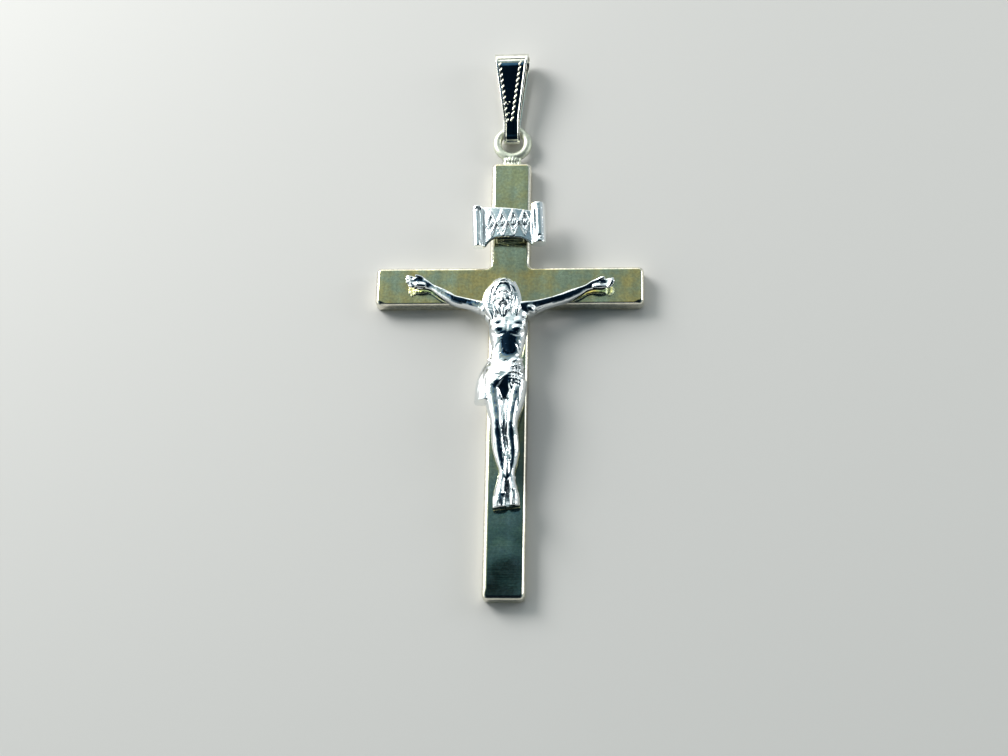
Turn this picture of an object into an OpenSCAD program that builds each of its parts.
// Crucifix pendant that lies on its back.
// The origin is the crossing centre of the two bars, on the flat back face.
// +Y points to the bail, +X to the right arm and +Z to the front.

/* [Cross] */
// Width of both bars
bar_w = 4.0; // [3.8:0.1:4.4]
// Thickness of the cross plate
plate_t = 1.6; // [1.5:0.1:1.8]
// Length of the upright above the crossing centre
top_len = 13.7; // [12.8:0.1:15]
// Length of the upright below the crossing centre
foot_len = 31.6; // [27:0.1:36]
// Length of each arm from the crossing centre
arm_len = 13.3; // [12:0.1:16]
// Radius that rounds the front edge
edge_r = 0.38; // [0.1:0.02:0.4]
// Radius of the outer corners, seen from the front
corner_r = 0.45; // [0.42:0.01:0.9]
// Radius of the fillets where the bars meet
inner_r = 0.35; // [0.1:0.05:0.8]

/* [Ring] */
// Wire diameter of the ring that is soldered to the top
wire_d = 0.9; // [0.8:0.05:0.95]
// Radius of the ring to the middle of its wire
ring_r = 1.55; // [1.5:0.05:1.7]
// Height of the ring's middle above the back
ring_z = 0.9; // [0.85:0.01:0.95]
// Length of the solder neck between the cross and the ring
neck_len = 0.5; // [0.3:0.05:0.7]

/* [Bail] */
// Thickness of the folded strip
strip_t = 0.3; // [0.22:0.02:0.32]
// Width of the strip where it passes through the ring
strip_w = 1.65; // [1.2:0.05:1.7]
// Width of the strip over the top fold
strip_top_w = 3.65; // [2.4:0.05:4.2]
// Length of the bail from fold to fold
bail_len = 10.1; // [8:0.1:14]
// Outer radius of the fold inside the ring
low_fold_r = 0.83; // [0.82:0.01:0.88]
// Outer radius of the fold at the top
top_fold_r = 1.45; // [1.1:0.05:1.8]
// Turn of the bail on its ring, in degrees
bail_turn = 0.8; // [0:0.1:1.5]

/* [Scroll] */
// Width of the scroll over its two rolls
scroll_w = 7.35; // [6.6:0.05:8.4]
// Length of each roll
roll_len = 4.4; // [3.8:0.1:5.2]
// Diameter of each roll
roll_d = 1.35; // [1.1:0.05:1.5]
// Height of the scroll's plate at its middle
scroll_h = 3.1; // [2.6:0.1:3.6]
// Thickness of the scroll's plate
scroll_t = 0.42; // [0.3:0.02:0.5]
// Distance from the crossing centre to the scroll's middle
scroll_y = 6.0; // [5.6:0.1:8]
// Turn of the scroll on the upright, in degrees
scroll_turn = 3; // [0:0.5:5]

/* [Corpus] */
// Relief of the figure, as a share of its modelled height
relief = 1.0; // [0.85:0.05:1.1]
// Sides of each limb's section
limb_sides = 14; // [12:2:20]
// Steps between two sections of a limb
limb_steps = 2; // [2:1:4]

/* [Hidden] */

half_w = bar_w / 2;
// Cast pieces stand this far off the face they are fastened to
seat_gap = 0.02;
face_z = plate_t + seat_gap;
ring_y = top_len + neck_len + ring_r + wire_d / 2;
floor_gap = 0.02;
neck_root = 0.3;
corner_steps = 4;
edge_steps = 4;

// Corners of the cross outline, anticlockwise: x, y, direction in, direction out
right = [1, 0];
up = [0, 1];
left = [-1, 0];
down = [0, -1];
corners = [
    [arm_len, -half_w, right, up],
    [arm_len, half_w, up, left],
    [half_w, half_w, left, up],
    [half_w, top_len, up, left],
    [-half_w, top_len, left, down],
    [-half_w, half_w, down, left],
    [-arm_len, half_w, left, down],
    [-arm_len, -half_w, down, right],
    [-half_w, -half_w, right, down],
    [-half_w, -foot_len, down, right],
    [half_w, -foot_len, right, up],
    [half_w, -half_w, up, right]
];

// Turn of a corner: 1 where the outline bulges, -1 where it is hollow
function bulge(c) = sign(c[2][0] * c[3][1] - c[2][1] * c[3][0]);

// Arc of one corner, with the whole outline drawn in by inset
function corner_arc(c, inset) =
    let (out = bulge(c),
         r = out > 0 ? corner_r : inner_r,
         mid = [c[0], c[1]] - c[2] * r + c[3] * r,
         start = atan2(c[2][1], c[2][0]) - out * 90)
    [for (k = [0:corner_steps])
        let (a = start + out * 90 * k / corner_steps)
        mid + (r - out * inset) * [cos(a), sin(a)]];

// The cross outline at one height
function cross_layer(z, inset) =
    [for (c = corners) for (p = corner_arc(c, inset)) [p[0], p[1], z]];

// Height and inset of each layer of the plate, from back to front
plate_layers = concat(
    [[0, 0.1], [0.1, 0]],
    [for (k = [0:edge_steps])
        let (a = 90 * k / edge_steps)
        [plate_t - edge_r + edge_r * sin(a), edge_r * (1 - cos(a))]]
);

// Skin over equal rings of points, closed by a fan round the middle of each end
module skin(rings, first_mid, last_mid) {
    n = len(rings[0]);
    m = len(rings);
    sides = [for (i = [0:m - 2]) for (k = [0:n - 1])
        let (a = i * n + k, b = i * n + (k + 1) % n)
        each [[b, a, a + n], [b, a + n, b + n]]];
    first_cap = [for (k = [0:n - 1]) [m * n, k, (k + 1) % n]];
    last_cap = [for (k = [0:n - 1]) [m * n + 1, (m - 1) * n + (k + 1) % n, (m - 1) * n + k]];
    polyhedron(concat([for (r = rings) for (p = r) p], [first_mid, last_mid]),
               concat(first_cap, last_cap, sides));
}

// Ring with its solder neck, standing on the top of the cross
module ring() {
    translate([0, ring_y, ring_z])
        rotate_extrude($fn = 48)
            translate([ring_r, 0])
                circle(d = wire_d, $fn = 24);
    // The neck ends inside the plate and inside the wire
    translate([0, top_len - neck_root, ring_z])
        rotate([-90, 0, 0])
            cylinder(h = neck_root + neck_len + wire_d / 2, r1 = 0.56, r2 = 0.36, $fn = 24);
}

module cross() {
    color("goldenrod") {
        skin([for (layer = plate_layers) cross_layer(layer[0], layer[1])],
             [0, 0, 0], [0, 0, plate_t]);
        ring();
    }
}

// Side view of the bail's loop, drawn in by inset, along x = length and y = height
low_y = ring_y + ring_r - wire_d / 2 - 0.22;
low_z = low_fold_r + floor_gap;
top_z = top_fold_r + floor_gap;
top_y = low_y - low_fold_r + bail_len - top_fold_r;
module loop_side(inset) {
    hull() {
        translate([low_y, low_z])
            circle(r = low_fold_r - inset, $fn = 40);
        translate([top_y, top_z])
            circle(r = top_fold_r - inset, $fn = 48);
    }
}

// Front view of the strip, drawn in by inset
flare_y = low_y + 1.6;
loop_end = top_y + top_fold_r + 0.1;
function flare(y) = strip_w / 2
    + max(0, y - flare_y) * (strip_top_w - strip_w) / 2 / (loop_end - flare_y);
module strip_front(inset, from, to) {
    polygon([
        [-flare(from) + inset, from],
        [flare(from) - inset, from],
        [flare(flare_y) - inset, flare_y],
        [flare(to) - inset, to],
        [-flare(to) + inset, to],
        [-flare(flare_y) + inset, flare_y]
    ]);
}

// Slope of the bail's front leg against the back
leg_run = norm([top_y - low_y, top_z - low_z]);
front_slope = atan2(top_z - low_z, top_y - low_y)
    + asin((top_fold_r - low_fold_r) / leg_run);
rim_w = 0.22;
panel_depth = 0.1;
bead_r = 0.11;
// Ends of the two beaded lines on the panel: x low, x top, from the bail's middle
bead_lines = [[-0.44, -1.2], [0.12, 0.95]];
bead_from = 1.9;
bead_to = 8.0;

// A frame whose plane z = 0 is the bail's front face, with y from the low fold
module on_front() {
    translate([0, low_y, low_z])
        rotate([front_slope, 0, 0])
            translate([0, 0, low_fold_r])
                children();
}

module bail() {
    color("darkkhaki")
        translate([-0.05, ring_y + ring_r, 0])
            rotate([0, 0, bail_turn])
                translate([0, -ring_y - ring_r, 0]) {
                    difference() {
                        intersection() {
                            rotate([90, 0, 90])
                                linear_extrude(strip_top_w + 1, center = true)
                                    difference() {
                                        loop_side(0);
                                        loop_side(strip_t);
                                    }
                            linear_extrude(2 * top_fold_r + 1)
                                strip_front(0, low_y - 1, loop_end);
                        }
                        on_front()
                            translate([0, -low_y, -panel_depth])
                                linear_extrude(1)
                                    strip_front(rim_w, low_y + 0.1, top_y - 0.1);
                    }
                    for (line = bead_lines)
                        on_front()
                            bead_ridge([line[0], bead_from], [line[1], bead_to]);
                }
}

// Low round ridge between two points of the panel
module bead_ridge(a, b) {
    run = b - a;
    translate([a[0], a[1], -panel_depth])
        rotate([-90, 0, atan2(run[1], run[0]) - 90])
            cylinder(h = norm(run), r = bead_r, $fn = 16);
}

// Arched line of the scroll's plate, as seen from below
crown_z = 1.0;
arch_drop = 0.055;
roll_x = (scroll_w - roll_d) / 2;
roll_z = 1.08;
plate_steps = 16;
function arch(x) = crown_z - arch_drop * x * x;
// Top edge of the plate, which slopes, and its bottom edge, which is hollowed
plate_slope = 0.14;
ornament_y = 0.33;
function plate_top(x) = 0.63 * scroll_h - plate_slope * x;
function plate_low(x) = -0.41 * scroll_h - 0.1 * x - 0.025 * pow(x, 4);

// Plate between the rolls, with its front raised by lift
module arched_plate(lift) {
    xs = [for (k = [0:plate_steps]) roll_x * (2 * k / plate_steps - 1)];
    intersection() {
        rotate([90, 0, 0])
            linear_extrude(roll_len + 0.4, center = true)
                polygon(concat(
                    [for (x = xs) [x, arch(x) - scroll_t / 2]],
                    [for (k = [plate_steps:-1:0]) [xs[k], arch(xs[k]) + scroll_t / 2 + lift]]
                ));
        linear_extrude(3)
            polygon(concat(
                [for (x = xs) [x, max(-roll_len / 2 + 0.05, plate_low(x))]],
                [for (k = [plate_steps:-1:0]) [xs[k], plate_top(xs[k])]]
            ));
    }
}

// One roll, with the slot that the edge of the rolled end leaves
slot_w = 0.26;
module roll(side) {
    difference() {
        translate([side * roll_x, 0, roll_z])
            rotate([90, 0, 0])
                cylinder(h = roll_len, d = roll_d, center = true, $fn = 32);
        translate([side * (roll_x + 0.08), -side * 0.35, roll_z + roll_d / 2])
            cube([slot_w, roll_len - 0.5, roll_d * 0.8], center = true);
    }
}

// Row of lozenges in raised outline, each with a dot
lozenge_w = 1.0;
lozenge_h = 2.4;
lozenge_pitch = 1.08;
stroke = 0.2;
raised = 0.2;
module lozenge(w, h) {
    polygon([[-w / 2, 0], [0, -h / 2], [w / 2, 0], [0, h / 2]]);
}
module ornament_plan() {
    for (k = [0:3])
        translate([(k - 1.5) * lozenge_pitch, ornament_y]) {
            difference() {
                lozenge(lozenge_w, lozenge_h);
                lozenge(lozenge_w - stroke * 2.2, lozenge_h - stroke * 5);
            }
            circle(r = stroke * 0.75, $fn = 8);
        }
}

module scroll() {
    color("silver")
        translate([-0.07, scroll_y, face_z])
            rotate([0, 0, scroll_turn]) {
                arched_plate(0);
                intersection() {
                    arched_plate(raised);
                    linear_extrude(3)
                        ornament_plan();
                }
                roll(1);
                roll(-1);
                translate([0, 0, crown_z / 2])
                    cube([2.6, 2.0, crown_z], center = true);
            }
}

// Smooth curve through the rows of a table
function between(a, b, c, d, t) = 0.5 * (2 * b + (c - a) * t
    + (2 * a - 5 * b + 4 * c - d) * t * t + (3 * b - a - 3 * c + d) * t * t * t);
function smooth_rows(rows) = let (last = len(rows) - 1)
    concat([for (i = [0:last - 1]) for (k = [0:limb_steps - 1])
        between(rows[max(i - 1, 0)], rows[i], rows[i + 1], rows[min(i + 2, last)],
            k / limb_steps)], [rows[last]]);

// Limb from a table of sections: x, y, middle height, half width, half depth
module limb(rows) {
    s = smooth_rows(rows);
    last = len(s) - 1;
    skin([for (i = [0:last])
        let (run = s[min(i + 1, last)] - s[max(i - 1, 0)],
             t = atan2(run[1], run[0]))
        [for (k = [0:limb_sides - 1])
            let (a = 360 * k / limb_sides)
            [s[i][0] - sin(t) * s[i][3] * cos(a),
             s[i][1] + cos(t) * s[i][3] * cos(a),
             s[i][2] + s[i][4] * sin(a)]]],
         [s[0][0], s[0][1], s[0][2]], [s[last][0], s[last][1], s[last][2]]);
}

// Rounded roll of metal between two balls: x, y, z, radius of each
module fold(a, b) {
    hull() {
        translate([a[0], a[1], a[2]])
            sphere(r = a[3], $fn = 10);
        translate([b[0], b[1], b[2]])
            sphere(r = b[3], $fn = 10);
    }
}

// Egg of metal: its middle and its three half sizes
module egg(mid, size) {
    translate(mid)
        scale(size)
            sphere(r = 1, $fn = 24);
}

// Sections of the body, from the neck to below the hips
body_rows = [
    [-0.30, -2.2, 0.90, 0.65, 0.80],
    [-0.25, -2.8, 0.85, 1.85, 0.95],
    [-0.12, -3.4, 0.80, 2.30, 1.15],
    [0.02, -4.3, 0.80, 1.96, 1.32],
    [0.04, -5.3, 0.80, 1.84, 1.32],
    [0.00, -6.4, 0.75, 1.66, 1.20],
    [-0.14, -7.3, 0.70, 1.48, 1.02],
    [-0.16, -8.2, 0.70, 1.56, 1.02],
    [-0.16, -9.2, 0.75, 1.86, 1.16],
    [-0.20, -10.4, 0.80, 2.10, 1.30],
    [-0.18, -11.5, 0.80, 1.96, 1.28],
    [-0.10, -12.6, 0.75, 1.66, 1.12]
];
// Sections of the legs, from the hip over the knee to the toes
left_leg_rows = [
    [-0.95, -11.0, 0.80, 0.95, 1.00],
    [-0.90, -12.5, 0.85, 0.90, 1.00],
    [-0.80, -14.0, 0.95, 0.78, 0.95],
    [-0.70, -15.2, 1.10, 0.64, 0.85],
    [-0.62, -16.3, 0.85, 0.68, 0.80],
    [-0.56, -17.3, 0.75, 0.67, 0.76],
    [-0.42, -18.4, 0.65, 0.56, 0.66],
    [-0.26, -19.5, 0.60, 0.41, 0.60],
    [-0.28, -20.3, 0.65, 0.42, 0.62],
    [-0.42, -21.3, 0.80, 0.56, 0.66],
    [-0.46, -22.3, 0.85, 0.67, 0.66],
    [-0.42, -23.2, 0.80, 0.62, 0.60]
];
right_leg_rows = [
    [0.85, -11.0, 0.80, 0.98, 1.00],
    [0.80, -12.5, 0.85, 0.84, 1.00],
    [0.68, -14.0, 0.95, 0.67, 0.95],
    [0.62, -15.2, 1.10, 0.60, 0.85],
    [0.74, -16.3, 0.85, 0.66, 0.80],
    [0.80, -17.3, 0.75, 0.62, 0.76],
    [0.75, -18.4, 0.65, 0.49, 0.66],
    [0.58, -19.5, 0.60, 0.38, 0.60],
    [0.60, -20.3, 0.65, 0.40, 0.62],
    [0.84, -21.3, 0.80, 0.46, 0.66],
    [0.93, -22.2, 0.85, 0.50, 0.66],
    [0.92, -22.9, 0.80, 0.48, 0.60]
];
// Sections of the arms, from the shoulder over the elbow to the palm
left_arm_rows = [
    [-1.70, -3.15, 0.80, 0.72, 0.85],
    [-2.90, -2.68, 0.72, 0.48, 0.68],
    [-4.10, -2.28, 0.65, 0.41, 0.60],
    [-5.20, -2.00, 0.65, 0.42, 0.56],
    [-6.00, -1.55, 0.65, 0.42, 0.56],
    [-6.90, -1.00, 0.65, 0.39, 0.50],
    [-7.60, -0.55, 0.65, 0.31, 0.42],
    [-8.20, -0.25, 0.70, 0.46, 0.40],
    [-8.85, -0.08, 0.75, 0.62, 0.40],
    [-9.35, -0.08, 0.80, 0.54, 0.33],
    [-9.64, -0.04, 0.86, 0.18, 0.08]
];
right_arm_rows = [
    [1.60, -3.15, 0.80, 0.72, 0.85],
    [2.80, -2.64, 0.72, 0.44, 0.64],
    [4.10, -2.20, 0.65, 0.39, 0.56],
    [5.20, -1.85, 0.65, 0.41, 0.54],
    [6.20, -1.42, 0.65, 0.41, 0.50],
    [7.00, -1.05, 0.65, 0.37, 0.45],
    [7.70, -0.68, 0.65, 0.30, 0.40],
    [8.40, -0.36, 0.70, 0.48, 0.38],
    [9.10, -0.26, 0.75, 0.58, 0.36],
    [9.55, -0.24, 0.76, 0.48, 0.31],
    [9.84, -0.28, 0.80, 0.18, 0.08]
];
// Locks of hair beside the face
left_hair_rows = [
    [-1.20, -0.50, 1.20, 0.60, 0.75],
    [-1.82, -1.40, 1.20, 0.62, 0.90],
    [-2.08, -2.30, 1.20, 0.64, 0.90],
    [-1.88, -3.20, 1.30, 0.50, 0.78],
    [-1.45, -3.90, 1.45, 0.28, 0.50]
];
right_hair_rows = [
    [0.25, -0.50, 1.20, 0.55, 0.75],
    [0.72, -1.40, 1.20, 0.54, 0.88],
    [0.98, -2.30, 1.20, 0.50, 0.85],
    [1.02, -3.10, 1.30, 0.42, 0.75],
    [0.90, -3.80, 1.45, 0.26, 0.50]
];
// Fingers and thumbs: start x, y, z, radius and end x, y, z, radius
fingers = [
    [[-9.20, 0.34, 0.85, 0.20], [-9.95, 0.44, 1.00, 0.17]],
    [[-9.25, 0.10, 0.85, 0.20], [-10.02, 0.14, 1.05, 0.17]],
    [[-9.25, -0.16, 0.85, 0.20], [-9.98, -0.18, 1.05, 0.17]],
    [[-9.20, -0.40, 0.85, 0.19], [-9.80, -0.48, 1.00, 0.16]],
    [[-8.50, 0.30, 0.80, 0.20], [-9.05, 0.46, 1.10, 0.16]],
    [[9.50, 0.08, 0.80, 0.19], [10.22, 0.08, 0.95, 0.16]],
    [[9.55, -0.14, 0.80, 0.19], [10.28, -0.18, 1.00, 0.16]],
    [[9.50, -0.38, 0.80, 0.19], [10.18, -0.44, 1.00, 0.16]],
    [[9.40, -0.58, 0.80, 0.18], [9.98, -0.66, 0.95, 0.15]],
    [[8.60, 0.02, 0.80, 0.20], [9.25, 0.18, 1.05, 0.16]]
];
// Sections of the loincloth, round the hips and down its hanging end
cloth_rows = [
    [-0.22, -8.9, 0.75, 1.78, 1.14],
    [-0.26, -9.8, 0.82, 2.08, 1.34],
    [-0.28, -10.9, 0.86, 2.16, 1.42],
    [-0.22, -12.0, 0.86, 1.94, 1.36],
    [-0.12, -12.9, 0.82, 1.64, 1.22]
];
hanging_end_rows = [
    [-1.65, -8.7, 0.75, 0.50, 0.65],
    [-1.95, -9.7, 0.75, 0.72, 0.75],
    [-2.22, -10.9, 0.70, 0.80, 0.72],
    [-2.32, -12.0, 0.66, 0.74, 0.64],
    [-2.22, -12.8, 0.60, 0.58, 0.52]
];
// Folds on the loincloth: x and y of both ends, and the radius
cloth_folds = [
    [-1.90, -9.50, -0.10, -10.30, 0.20],
    [-2.00, -10.30, 0.30, -11.70, 0.22],
    [-1.85, -11.50, 0.00, -12.60, 0.22],
    [1.45, -9.80, 0.55, -11.90, 0.20],
    [1.50, -10.80, 0.70, -12.50, 0.22],
    [0.55, -9.30, 1.25, -10.00, 0.30],
    [0.75, -9.90, 1.35, -10.60, 0.30]
];
fold_pieces = 3;
// Height of the loincloth's front at one x
function cloth_top(x) = 0.84 + 1.36 * sqrt(max(0.05, 1 - pow((x + 0.25) / 2.15, 2)));
function fold_end(f, share) =
    let (x = f[0] + (f[2] - f[0]) * share, y = f[1] + (f[3] - f[1]) * share)
    [x, y, cloth_top(x) - 0.06, f[4]];
module cloth_fold(f) {
    for (k = [0:fold_pieces - 1])
        fold(fold_end(f, k / fold_pieces), fold_end(f, (k + 1) / fold_pieces));
}
// Folds down the hanging end, with the fingers' columns
hanging_folds = [
    [[-2.15, -9.60, 1.20, 0.26], [-2.75, -12.30, 0.92, 0.26]],
    [[-1.75, -9.80, 1.35, 0.24], [-2.15, -12.60, 1.00, 0.24]]
];
// Toes: start and end of each ball, with the same columns
toe_tips = [
    [[-0.86, -22.6, 0.95, 0.24], [-0.86, -23.10, 0.80, 0.20]],
    [[-0.44, -22.7, 1.00, 0.26], [-0.44, -23.18, 0.85, 0.22]],
    [[0.66, -22.4, 0.95, 0.22], [0.66, -22.90, 0.85, 0.19]],
    [[1.10, -22.3, 0.90, 0.22], [1.12, -22.80, 0.80, 0.18]]
];

module chest() {
    for (side = [-1, 1])
        egg([0.05 + side * 0.86, -4.5, 1.3], [0.95, 0.9, 0.82]);
}

module head() {
    egg([-0.42, -2.05, 1.62], [1.10, 1.85, 1.22]);
    egg([-0.42, -1.20, 1.25], [1.50, 1.42, 1.18]);
    egg([-0.28, -3.95, 1.95], [0.72, 0.80, 0.66]);
    limb(left_hair_rows);
    limb(right_hair_rows);
}

module corpus() {
    color("gainsboro")
        translate([0, 0, face_z])
            scale([1, 1, relief])
                difference() {
                    union() {
                        head();
                        chest();
                        limb(body_rows);
                        limb(cloth_rows);
                        limb(hanging_end_rows);
                        limb(left_leg_rows);
                        limb(right_leg_rows);
                        limb(left_arm_rows);
                        limb(right_arm_rows);
                        for (f = concat(fingers, hanging_folds, toe_tips))
                            fold(f[0], f[1]);
                        for (f = cloth_folds)
                            cloth_fold(f);
                        web();
                    }
                    translate([-20, -40, -4])
                        cube([40, 60, 4]);
                }
}

// Thin web of metal that ties the shins and the feet together
module web() {
    hull() {
        translate([0.05, -14.5, 0])
            cylinder(h = 0.5, r = 0.5, $fn = 10);
        translate([0.15, -22.6, 0])
            cylinder(h = 0.5, r = 0.6, $fn = 10);
    }
}

cross();
bail();
scroll();
corpus();
